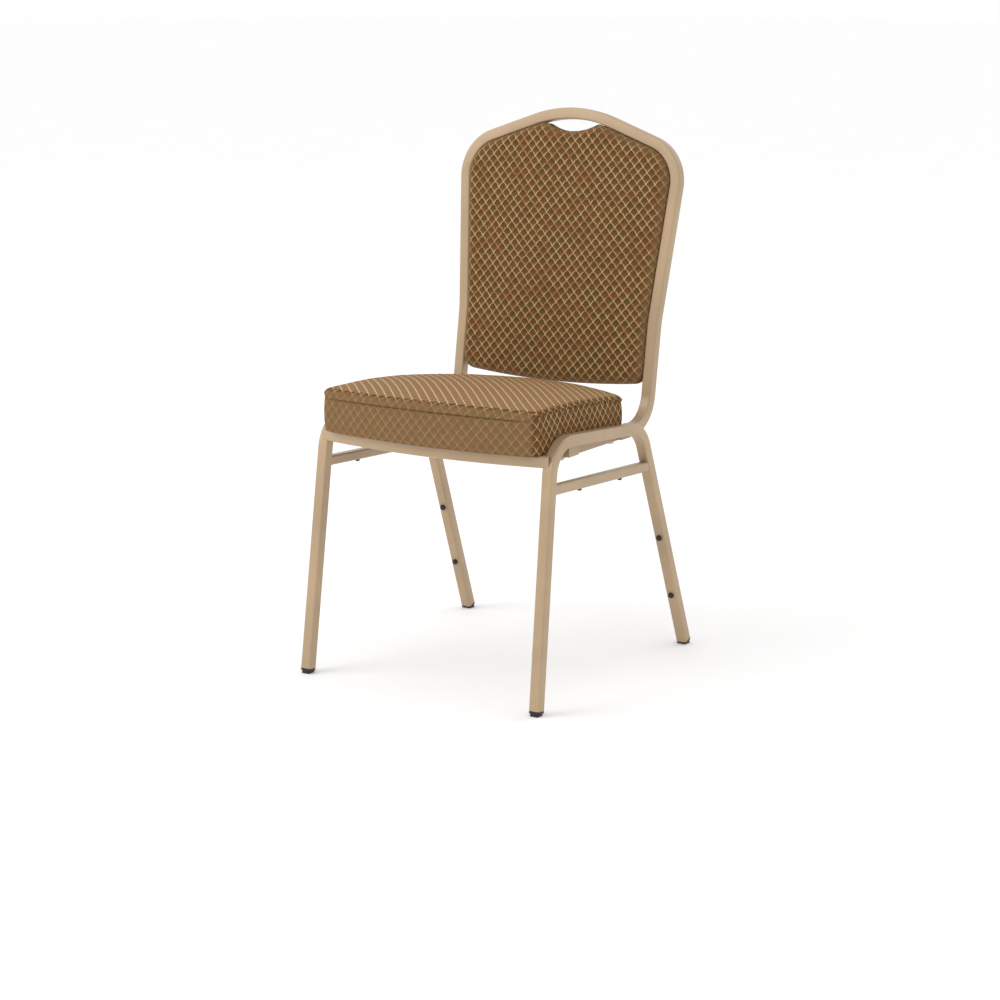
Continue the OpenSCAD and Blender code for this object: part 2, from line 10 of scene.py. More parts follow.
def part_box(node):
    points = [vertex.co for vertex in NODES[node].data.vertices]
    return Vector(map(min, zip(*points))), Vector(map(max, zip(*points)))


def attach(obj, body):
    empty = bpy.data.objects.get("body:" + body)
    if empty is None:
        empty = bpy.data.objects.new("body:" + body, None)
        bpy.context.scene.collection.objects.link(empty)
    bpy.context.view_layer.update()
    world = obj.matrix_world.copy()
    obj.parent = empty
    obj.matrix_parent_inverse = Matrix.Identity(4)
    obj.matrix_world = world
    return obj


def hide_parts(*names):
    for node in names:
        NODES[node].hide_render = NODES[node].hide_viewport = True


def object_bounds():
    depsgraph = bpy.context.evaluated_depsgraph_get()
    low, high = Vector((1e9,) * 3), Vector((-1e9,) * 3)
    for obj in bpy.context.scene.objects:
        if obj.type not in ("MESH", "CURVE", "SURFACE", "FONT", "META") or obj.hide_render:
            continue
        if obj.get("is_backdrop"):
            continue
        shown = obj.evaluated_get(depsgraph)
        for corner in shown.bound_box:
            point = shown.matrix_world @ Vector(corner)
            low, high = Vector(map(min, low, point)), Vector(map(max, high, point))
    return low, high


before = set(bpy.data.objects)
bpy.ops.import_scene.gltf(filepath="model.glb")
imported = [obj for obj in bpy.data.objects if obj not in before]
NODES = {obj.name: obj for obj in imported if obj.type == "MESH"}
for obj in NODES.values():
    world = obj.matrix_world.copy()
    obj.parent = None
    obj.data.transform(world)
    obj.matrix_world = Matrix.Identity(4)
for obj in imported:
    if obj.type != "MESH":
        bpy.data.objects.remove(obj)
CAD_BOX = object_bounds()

bl_info = {
    "name": "Stacking banquet chair",
    "version": (1, 0, 0),
    "blender": (4, 5, 0),
    "location": "3D View > Sidebar > Chair",
    "description": "Finishes a stacking chair's frame, feet, seat and back, and sets a plain stage",
    "category": "Object",
}

MM = 0.001
COVER_THICKNESS = 1.2 * MM
SEAT_POINTS = 288
BACK_POINTS = 420
# Where the seat's and the back's outlines are closed in on, and where each one starts
SEAT_MIDDLE = Vector((0, -0.06))
SEAT_START = Vector((0, 0.12))
BACK_MIDDLE = Vector((0, 0.27))
BACK_START = Vector((0, 0.05))

# The back's own plane: its origin is where an upright's centreline would meet its runner's
BACK_ORIGIN = Vector((0, 0.162, 0.4005))
BACK_RECLINE = math.radians(9)
BACK_UP = Vector((0, math.sin(BACK_RECLINE), math.cos(BACK_RECLINE)))
BACK_FRONT = Vector((0, -math.cos(BACK_RECLINE), math.sin(BACK_RECLINE)))

FRAME_NODES = [
    "side_frame_left", "side_frame_right", "back_hoop", "front_rail", "rear_cross_rail",
    "spacer_blocks_left", "spacer_blocks_right", "side_bar_left", "side_bar_right",
    "back_tabs_left", "back_tabs_right",
]
FOOT_NODES = ["foot_front_left", "foot_front_right", "foot_rear_left", "foot_rear_right"]
BUMPER_NODES = [
    "leg_bumpers_left", "leg_bumpers_right", "bar_bumpers_left", "bar_bumpers_right",
]
STEEL_NODES = ["seat_t_nuts", "seat_screws", "seat_staples", "back_t_nuts", "back_screws"]


# ---- Sizes and colours a user would change ----

class FrameLook(bpy.types.PropertyGroup):
    paint: bpy.props.FloatVectorProperty(
        name="Paint", description="Colour of the frame's powder coat",
        subtype="COLOR", size=3, min=0, max=1, default=(0.41, 0.288, 0.170))
    gloss: bpy.props.FloatProperty(
        name="Gloss", description="How glossy the powder coat is",
        subtype="FACTOR", min=0, max=1, default=0.55)


class ClothLook(bpy.types.PropertyGroup):
    cell_w: bpy.props.FloatProperty(
        name="Scale width", description="Width of one scale in the cloth's pattern",
        unit="LENGTH", min=0.005, max=0.05, default=0.017)
    cell_h: bpy.props.FloatProperty(
        name="Row height", description="Height from one row of scales to the next",
        unit="LENGTH", min=0.003, max=0.05, default=0.0095)
    line_w: bpy.props.FloatProperty(
        name="Line width", description="Width of the light thread round a scale",
        unit="LENGTH", min=0.0003, max=0.004, default=0.0019)
    thread: bpy.props.FloatVectorProperty(
        name="Thread", description="Colour of the light thread",
        subtype="COLOR", size=3, min=0, max=1, default=(0.52, 0.31, 0.150))
    accent: bpy.props.FloatVectorProperty(
        name="Accent", description="Colour of the red thread",
        subtype="COLOR", size=3, min=0, max=1, default=(0.42, 0.135, 0.06))
    brown: bpy.props.FloatVectorProperty(
        name="Brown", description="Colour of the brown scales",
        subtype="COLOR", size=3, min=0, max=1, default=(0.094, 0.045, 0.009))
    olive: bpy.props.FloatVectorProperty(
        name="Olive", description="Colour of the olive scales",
        subtype="COLOR", size=3, min=0, max=1, default=(0.068, 0.043, 0.008))


class SeatShape(bpy.types.PropertyGroup):
    roll: bpy.props.FloatProperty(
        name="Front roll", description="Radius of the rolled front edge",
        unit="LENGTH", min=0.005, max=0.03, default=0.0155)
    side_roll: bpy.props.FloatProperty(
        name="Side roll", description="Radius of the other top edges",
        unit="LENGTH", min=0.004, max=0.03, default=0.0075)
    crease: bpy.props.FloatProperty(
        name="Crease", description="Depth of the crease along the front seam",
        unit="LENGTH", min=0, max=0.01, default=0.0022)
    fall: bpy.props.FloatProperty(
        name="Front fall", description="How far behind the front edge the top starts to fall",
        unit="LENGTH", min=0.05, max=0.3, default=0.16)
    crown_front: bpy.props.FloatProperty(
        name="Crown's place", description="How far the highest line lies in front of the middle",
        unit="LENGTH", min=0, max=0.3, default=0.183)
    crown_radius: bpy.props.FloatProperty(
        name="Crown radius", description="Radius of the crowned top",
        unit="LENGTH", min=1, max=3, default=1.76)
    edge_height: bpy.props.FloatProperty(
        name="Edge height", description="Height of the cushion's side edge above the floor",
        unit="LENGTH", min=0.4, max=0.6, default=0.481)
    slack: bpy.props.FloatProperty(
        name="Slack", description="Height of the soft waves in the cloth",
        unit="LENGTH", min=0, max=0.005, default=0.0008)


class BackShape(bpy.types.PropertyGroup):
    roll: bpy.props.FloatProperty(
        name="Roll", description="Radius of the pad's rolled edge",
        unit="LENGTH", min=0.004, max=0.02, default=0.016)
    crown: bpy.props.FloatProperty(
        name="Crown", description="How much fuller the pad is at its middle",
        unit="LENGTH", min=0, max=0.012, default=0.004)


class StageLook(bpy.types.PropertyGroup):
    floor: bpy.props.FloatVectorProperty(
        name="Floor", description="Colour of the floor and the sky",
        subtype="COLOR", size=3, min=0, max=1, default=(0.99, 0.99, 0.99))
    key: bpy.props.FloatProperty(
        name="Key light", description="Power of the main light",
        unit="POWER", min=0, max=2000, default=55)
    fill: bpy.props.FloatProperty(
        name="Sky", description="Strength of the even light from all round",
        min=0, max=5, default=1.0)


# ---- Node materials, written as sums ----

class Value:
    """A socket that can be added, multiplied and compared."""

    def __init__(self, tree, socket):
        self.tree = tree
        self.socket = socket

    def join(self, operation, *others):
        node = self.tree.nodes.new("ShaderNodeMath")
        node.operation = operation
        for place, item in enumerate((self,) + others):
            put(self.tree, node.inputs[place], item)
        return Value(self.tree, node.outputs[0])

    def __add__(self, other):
        return self.join("ADD", other)

    __radd__ = __add__

    def __sub__(self, other):
        return self.join("SUBTRACT", other)

    def __rsub__(self, other):
        return (self * -1) + other

    def __mul__(self, other):
        return self.join("MULTIPLY", other)

    def __truediv__(self, other):
        return self.join("DIVIDE", other)

    def __gt__(self, other):
        return self.join("GREATER_THAN", other)

    def floor(self):
        return self.join("FLOOR")

    def round(self):
        return self.join("ROUND")

    def root(self):
        return self.join("SQRT")

    def size(self):
        return self.join("ABSOLUTE")

    def wave(self):
        return self.join("SINE")

    def ramp(self, low, high):
        """0 below low, 1 above high, smooth between."""
        node = self.tree.nodes.new("ShaderNodeMapRange")
        node.interpolation_type = "SMOOTHSTEP"
        put(self.tree, node.inputs["Value"], self)
        put(self.tree, node.inputs["From Min"], low)
        put(self.tree, node.inputs["From Max"], high)
        return Value(self.tree, node.outputs["Result"])


def put(tree, socket, item):
    """Links a value or a node's output to a socket, or sets a plain number or colour on it."""
    if isinstance(item, Value):
        tree.links.new(item.socket, socket)
    elif isinstance(item, bpy.types.NodeSocket):
        tree.links.new(item, socket)
    elif hasattr(item, "__len__") and len(item) == 3 and len(socket.default_value) == 4:
        socket.default_value = (*item, 1)
    else:
        socket.default_value = item


class Finish:
    """A material with one shader, and the nodes that feed it."""

    def __init__(self, name, **constants):
        self.material = bpy.data.materials.new(name)
        self.material.use_nodes = True
        self.tree = self.material.node_tree
        self.shader = self.tree.nodes["Principled BSDF"]
        for key, value in constants.items():
            put(self.tree, self.shader.inputs[key.replace("_", " ")], value)

    def node(self, kind, settings=None, **inputs):
        made = self.tree.nodes.new(kind)
        for key, value in (settings or {}).items():
            setattr(made, key, value)
        for key, value in inputs.items():
            put(self.tree, made.inputs[key.replace("_", " ")], value)
        return made

    def place(self):
        return self.node("ShaderNodeTexCoord").outputs["Object"]

    def parts(self, vector):
        split = self.node("ShaderNodeSeparateXYZ", Vector=vector)
        return [Value(self.tree, out) for out in split.outputs]

    def cloud(self, vector, scale, detail=3.0, roughness=0.5):
        made = self.node("ShaderNodeTexNoise", Vector=vector, Scale=scale, Detail=detail,
                         Roughness=roughness)
        return Value(self.tree, made.outputs["Factor" if "Factor" in made.outputs else "Fac"])

    def chance(self, x, y):
        """A number from 0 to 1 that is fixed for each whole x and y."""
        pair = self.node("ShaderNodeCombineXYZ", X=x, Y=y)
        made = self.node("ShaderNodeTexWhiteNoise", Vector=pair.outputs[0])
        return Value(self.tree, made.outputs["Value"])

    def mix(self, factor, first, second):
        made = self.tree.nodes.new("ShaderNodeMix")
        made.data_type = "RGBA"
        put(self.tree, made.inputs[0], factor)
        put(self.tree, made.inputs[6], first)
        put(self.tree, made.inputs[7], second)
        return made.outputs[2]

    def feed(self, name, item):
        put(self.tree, self.shader.inputs[name], item)

    def bump(self, height, distance, strength=1.0):
        made = self.node("ShaderNodeBump", Height=height, Distance=distance, Strength=strength)
        self.feed("Normal", made.outputs["Normal"])


def shade(colour, factor):
    return tuple(min(1.0, part * factor) for part in colour)


def powder_coat():
    look = bpy.context.scene.chair_frame
    paint = tuple(look.paint)
    made = Finish("Powder coat", Metallic=0.15, Specular_IOR_Level=0.4, Coat_Roughness=0.22,
                  Coat_Weight=0.3)
    place = made.place()
    broad = made.cloud(place, 9.0)
    fine = made.cloud(place, 900.0, detail=2.0)
    wear = made.cloud(place, 60.0, detail=4.0, roughness=0.65).ramp(0.62, 0.74)
    colour = made.mix(broad.ramp(0.3, 0.7), shade(paint, 0.93), shade(paint, 1.07))
    made.feed("Base Color", made.mix(wear * 0.22, colour, shade(paint, 0.72)))
    made.feed("Roughness", 1.0 - look.gloss + (broad - 0.5) * 0.12 + wear * 0.08)
    made.bump(fine + broad * 0.3, 0.00012, 0.35)
    return made.material


def cloth():
    """The woven scales: rows of pointed arches, each row half a scale along from the last.

    Where a piece's painted value is above 0, a sheen is painted into the colour: the light thread
    shows less and the ground is lighter. Where it is below 0, a raking light is painted in: the
    ground and the thread are lighter, and the thread shows on the right side of each arch.
    """
    rounded = 0.70
    rib_pitch = 0.0011
    look = bpy.context.scene.chair_cloth
    made = Finish("Scale cloth", Sheen_Weight=0.04, Sheen_Roughness=0.4,
                  Sheen_Tint=(0.86, 0.66, 0.44), Specular_IOR_Level=0.15)
    along, up, _ = made.parts(made.node("ShaderNodeUVMap", {"uv_map": "cloth"}).outputs["UV"])
    # The light painted on the cloth, stored on the mesh: above 0 painted sheen, below 0 painted
    # raking light
    light = Value(made.tree, made.node(
        "ShaderNodeAttribute", {"attribute_name": "painted_weave_light"}).outputs["Fac"])
    painted_weave_light = light.ramp(0.0, 1.0)
    painted_rake_light = (0 - light).ramp(0.0, 1.0)
    place = made.place()
    wander = made.cloud(place, 9.0) - 0.5
    across = along / look.cell_w + wander * 0.10
    rows = up / look.cell_h + wander * 0.08
    row = rows.floor()
    height = rows - row
    shifted = across - row * 0.5
    column = shifted.round()
    side = (shifted - column).size() * 2
    # An arch between a round one and a straight-sided one
    arch_edge = (1 - height) * (1 - rounded) + (1 - height * height).root() * rounded
    inside = 1 - (side > arch_edge)
    upper = (shifted - 0.5).round()
    own_column = inside * column + (1 - inside) * upper
    own_row = row + (1 - inside)
    pick = made.chance(own_column, own_row)
    tint = made.chance(own_column + 31.0, own_row * 3.0)
    climb = (height - (1 - inside)).ramp(-0.7, 0.75)
    right = (shifted - column) > 0
    half_line = look.line_w / look.cell_w
    gap = (side - arch_edge).size()
    line = 1 - gap.ramp(half_line * 0.70, half_line * 1.55)
    ribs = (along * (2 * math.pi / rib_pitch)).wave() * (up * (2 * math.pi / rib_pitch)).wave()
    yarn = made.cloud(place, 650.0, detail=3.0, roughness=0.7)
    fill = made.mix((pick > 0.5) * 0.8, tuple(look.brown), tuple(look.olive))
    fill = made.mix(tint * 0.16, fill, shade(look.olive, 2.0))
    fill = made.mix((1 - climb) * 0.50, fill, shade(look.thread, 0.36))
    fleck = yarn.ramp(0.50, 0.72) * 0.25
    fill = made.mix(fleck, fill, shade(look.thread, 0.55))
    red = made.cloud(place, 62.0, detail=1.0).ramp(0.50, 0.60) * 0.8
    # Painted highlight: under painted raking light the red thread gives way to a lighter light
    # thread
    thread = made.mix(red * (1 - painted_rake_light * 0.8), tuple(look.thread), tuple(look.accent))
    thread = made.mix(painted_rake_light * 0.8, thread, shade(look.thread, 1.75))
    worn = made.cloud(place, 300.0, detail=2.0).ramp(0.24, 0.44)
    # Painted sheen hides the thread; painted raking light hides it on the left side of each arch
    weak = painted_weave_light * 0.66 + painted_rake_light * (1 - right) * 0.72
    show = line * (worn + painted_rake_light).ramp(0.0, 1.0) * (0.95 - weak)
    # Painted sheen and painted raking light lighten the ground
    ground = made.mix(painted_weave_light * 0.42 + painted_rake_light * 0.74, fill, shade(look.thread, 0.57))
    colour = made.mix(show, ground, thread)
    made.feed("Base Color", colour)
    made.feed("Roughness", 0.72 + yarn * 0.2 - line * 0.12)
    made.bump(line * 0.6 + ribs * 0.25 + yarn * 0.5, 0.0005, 0.5)
    return made.material


def moulded(name, colour, rough, grain):
    made = Finish(name, Specular_IOR_Level=0.45)
    place = made.place()
    skin = made.cloud(place, grain, detail=2.0)
    dust = made.cloud(place, 45.0, detail=4.0).ramp(0.5, 0.8)
    made.feed("Base Color", made.mix(dust * 0.30, colour, shade(colour, 2.6)))
    made.feed("Roughness", rough + dust * 0.15 + (skin - 0.5) * 0.1)
    made.bump(skin, 0.0002, 0.4)
    return made.material


def plated_steel():
    made = Finish("Zinc plate", Metallic=1.0)
    place = made.place()
    grain = made.cloud(place, 500.0)
    tarnish = made.cloud(place, 40.0, detail=4.0)
    made.feed("Base Color", made.mix(tarnish, (0.62, 0.61, 0.57), (0.48, 0.48, 0.46)))
    made.feed("Roughness", 0.28 + grain * 0.15 + tarnish * 0.15)
    made.bump(grain, 0.0001, 0.3)
    return made.material


def board(name, light, dark):
    made = Finish(name, Specular_IOR_Level=0.3)
    place = made.place()
    x = made.parts(place)[0]
    rings = made.cloud(place, 14.0, detail=4.0)
    grain = ((x * 260.0 + rings * 16.0).wave() + 1) * 0.5
    pores = made.cloud(place, 380.0, detail=3.0)
    made.feed("Base Color", made.mix(grain * 0.6 + pores * 0.3, light, dark))
    made.feed("Roughness", 0.6 + pores * 0.2)
    made.bump(grain * 0.4 + pores, 0.0003, 0.35)
    return made.material


def foam_block():
    made = Finish("Foam", Subsurface_Weight=0.1)
    place = made.place()
    cells = made.node("ShaderNodeTexVoronoi", Vector=place, Scale=700.0)
    pit = Value(made.tree, cells.outputs["Distance"])
    age = made.cloud(place, 12.0)
    made.feed("Base Color", made.mix(age, (0.78, 0.68, 0.42), (0.86, 0.79, 0.56)))
    made.feed("Roughness", 0.85 + pit * 0.1)
    made.bump(pit, 0.0005, 0.6)
    return made.material


def felt():
    made = Finish("Dust cloth", Sheen_Weight=0.2)
    fibre = made.cloud(made.place(), 520.0, detail=5.0, roughness=0.75)
    made.feed("Base Color", made.mix(fibre, (0.012, 0.012, 0.012), (0.045, 0.044, 0.042)))
    made.feed("Roughness", 0.85 + fibre * 0.12)
    made.bump(fibre, 0.0006, 0.6)
    return made.material


# ---- Shaping ----

def finish_piece(name, bm, material, slot, *nodes):
    """Makes an object of a shaped mesh that stands for these frame nodes."""
    mesh = bpy.data.meshes.new(name)
    bm.to_mesh(mesh)
    bm.free()
    mesh.materials.append(material)
    piece = bpy.data.objects.new(name, mesh)
    bpy.context.scene.collection.objects.link(piece)
    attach(piece, "root")
    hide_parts(*nodes)
    return piece


def smooth_copy(node, name, material, slot, sharp=30, edge=0.0):
    """A welded copy of a frame node with smooth bends, crisp edges and, if asked, eased edges."""
    bm = bmesh.new()
    bm.from_mesh(NODES[node].data)
    bmesh.ops.remove_doubles(bm, verts=bm.verts, dist=0.002 * MM)
    bmesh.ops.dissolve_degenerate(bm, edges=bm.edges, dist=0.001 * MM)
    if edge > 0:
        bmesh.ops.dissolve_limit(
            bm, angle_limit=math.radians(1), verts=bm.verts, edges=bm.edges)
        hard = [e for e in bm.edges
                if len(e.link_faces) == 2 and e.calc_face_angle(0) > math.radians(50)]
        bmesh.ops.bevel(bm, geom=hard, offset=edge, segments=2, profile=0.5, affect="EDGES",
                        material=-1, clamp_overlap=True)
    for face in bm.faces:
        face.smooth = True
    for line in bm.edges:
        if len(line.link_faces) != 2 or line.calc_face_angle(0) > math.radians(sharp):
            line.smooth = False
    return finish_piece(name, bm, material, slot, node)


def resample(points, count):
    """Evenly spaced points round a closed outline, from its first point, and its length."""
    lengths = [(points[i] - points[i - 1]).length for i in range(len(points))]
    total = sum(lengths)
    even = []
    i = 0
    run = 0.0
    for k in range(count):
        target = total * k / count
        while run + lengths[(i + 1) % len(points)] < target:
            i += 1
            run += lengths[i % len(points)]
        step = lengths[(i + 1) % len(points)]
        part = (target - run) / step
        even.append(points[i % len(points)].lerp(points[(i + 1) % len(points)], part))
    return even, total


def turned(points, first):
    return points[first:] + points[:first]


def outward(points):
    """Outward normals of a closed outline that runs anticlockwise."""
    normals = []
    for i in range(len(points)):
        run = points[(i + 1) % len(points)] - points[i - 1]
        normals.append(Vector((run.y, -run.x)).normalized())
    return normals


class Outline:
    """A closed outline with its normals, its middle, its length and the outlines inside it."""

    STEP = 1 * MM
    STEPS = 20
    SMOOTHING = 2
    CLOSEST = 0.97

    def __init__(self, points, count, middle, start):
        points = [p for i, p in enumerate(points) if (p - points[i - 1]).length > 0.02 * MM]
        area = sum(a.cross(b) for a, b in zip(points, points[1:] + points[:1]))
        if area < 0:
            points = points[::-1]
        first = min(range(len(points)), key=lambda i: (points[i] - start).length)
        self.points, self.length = resample(turned(points, first), count)
        self.normals = outward(self.points)
        self.middle = middle
        self.insets = [self.points]
        for _ in range(self.STEPS):
            last = self.insets[-1]
            moved = [p - n * self.STEP for p, n in zip(last, outward(last))]
            for _ in range(self.SMOOTHING):
                moved = [moved[k] * 0.5 + (moved[k - 1] + moved[(k + 1) % count]) * 0.25
                         for k in range(count)]
            self.insets.append(moved)

    def inset(self, i, distance):
        """Point i moved inwards: straight in at first, and then towards the middle."""
        if distance <= 0:
            return self.points[i] - self.normals[i] * distance
        step = distance / self.STEP
        if step < self.STEPS:
            low = int(step)
            return self.insets[low][i].lerp(self.insets[low + 1][i], step - low)
        point = self.insets[-1][i]
        far = (point - self.middle).length
        part = (distance - self.STEP * self.STEPS) / far
        return point.lerp(self.middle, min(self.CLOSEST, part))


def seat_outline():
    verts = NODES["seat_cover_band"].data.vertices
    flat = [Vector((v.co.x, v.co.y)) for v in verts]
    order = convex_hull_2d(flat)
    return Outline([flat[i] for i in order], SEAT_POINTS, SEAT_MIDDLE, SEAT_START)


def back_point(co):
    local = co - BACK_ORIGIN
    return Vector((local.x, local.dot(BACK_UP))), local.dot(BACK_FRONT)


def back_place(flat, out):
    return BACK_ORIGIN + Vector((flat.x, 0, 0)) + BACK_UP * flat.y + BACK_FRONT * out


def back_outline(node):
    """The pad's outline, read from the flat front of its frame node."""
    found = [back_point(v.co) for v in NODES[node].data.vertices]
    front = max(out for _, out in found)
    flat = {(round(p.x, 6), round(p.y, 6)) for p, out in found if out > front - 0.0002}
    ring = sorted((Vector(p) for p in flat),
                  key=lambda p: math.atan2(p.y - BACK_MIDDLE.y, p.x - BACK_MIDDLE.x))
    return Outline(ring, BACK_POINTS, BACK_MIDDLE, BACK_START)


def loft(outline, rings, close=None):
    """Rings round an outline, each extruded from the last.

    Each ring is (inset, place, spread, painted light): place gives the point in space, spread
    the cloth's own coordinates, and the fourth the light painted on the cloth: above 0 a
    painted sheen that hides its light thread, below 0 painted raking light. An inset may be a
    number or depend on the point. The last ring is closed to a point at close if it is given.
    """
    count = len(outline.points)
    bm = bmesh.new()
    spread_layer = bm.loops.layers.uv.new("cloth")
    painted_weave_light_layer = bm.verts.layers.float.new("painted_weave_light")
    made = bmesh.ops.create_circle(bm, cap_ends=False, segments=count, radius=1)
    ring = list(made["verts"])
    ring.sort(key=lambda v: math.atan2(v.co.y, v.co.x) % (2 * math.pi))
    spreads = {}

    def flat_at(i, number):
        inset = rings[number][0]
        return outline.inset(i, inset(i) if callable(inset) else inset)

    def settle(verts, number):
        _, place, _, painted_weave_light = rings[number]
        for i, vert in enumerate(verts):
            vert.co = place(i, flat_at(i, number))
            # Stores the painted sheen and painted raking light for the cloth's colour
            vert[painted_weave_light_layer] = painted_weave_light(i)
            spreads[vert] = (i, number)

    def extrude(verts, number):
        edges = [e for v in verts for e in v.link_edges
                 if all(w in spreads and spreads[w][1] == number for w in e.verts)]
        made = bmesh.ops.extrude_edge_only(bm, edges=list(dict.fromkeys(edges)))
        return [g for g in made["geom"] if isinstance(g, bmesh.types.BMVert)]

    settle(ring, 0)
    for number in range(1, len(rings)):
        partner = {}
        for v in extrude(ring, number - 1):
            for e in v.link_edges:
                w = e.other_vert(v)
                if w in spreads and spreads[w][1] == number - 1:
                    partner[spreads[w][0]] = v
        ring = [partner[i] for i in range(count)]
        settle(ring, number)
    if close is not None:
        bmesh.ops.pointmerge(bm, verts=extrude(ring, len(rings) - 1), merge_co=close[0])
        for v in bm.verts:
            if v not in spreads:
                spreads[v] = (0, -1)
    for face in bm.faces:
        face.smooth = True
        corners = [spreads[l.vert][0] for l in face.loops]
        wraps = count - 1 in corners and 0 in corners
        for l in face.loops:
            i, number = spreads[l.vert]
            if number == -1:
                l[spread_layer].uv = close[1]
                continue
            turn = count if wraps and i == 0 else i
            l[spread_layer].uv = rings[number][2](turn, flat_at(i, number), l.vert.co)
    bmesh.ops.recalc_face_normals(bm, faces=bm.faces)
    return bm


def soft_wave(co, height):
    """A slow uneven rise and fall, as padding has under its cloth."""
    return height * (noise.noise(co * 14.0) + 0.5 * noise.noise(co * 31.0))


def eased(part):
    """0 below 0, 1 above 1, smooth between."""
    part = min(1.0, max(0.0, part))
    return part * part * (3 - 2 * part)


def thicken(piece):
    shell = piece.modifiers.new("Cloth thickness", "SOLIDIFY")
    shell.thickness = COVER_THICKNESS
    shell.offset = -1


# ---- Operators ----

class CHAIR_OT_frame(bpy.types.Operator):
    """Paints the welded frame: leg frames, back hoop, rails, bars, spacers and tabs"""
    bl_idname = "chair.frame"
    bl_label = "Frame"

    def execute(self, context):
        paint = powder_coat()
        for node in FRAME_NODES:
            smooth_copy(node, node + "_painted", paint, "frame_paint")
        return {"FINISHED"}


class CHAIR_OT_feet(bpy.types.Operator):
    """Finishes the foot caps and the bumpers"""
    bl_idname = "chair.feet"
    bl_label = "Feet and bumpers"

    def execute(self, context):
        plastic = moulded("Foot plastic", (0.012, 0.012, 0.013), 0.42, 700.0)
        rubber = moulded("Bumper rubber", (0.016, 0.015, 0.015), 0.62, 400.0)
        for node in FOOT_NODES:
            smooth_copy(node, node + "_cap", plastic, "foot_plastic", sharp=40, edge=0.6 * MM)
        for node in BUMPER_NODES:
            smooth_copy(node, node + "_moulded", rubber, "bumper_rubber", sharp=50,
                        edge=0.4 * MM)
        return {"FINISHED"}


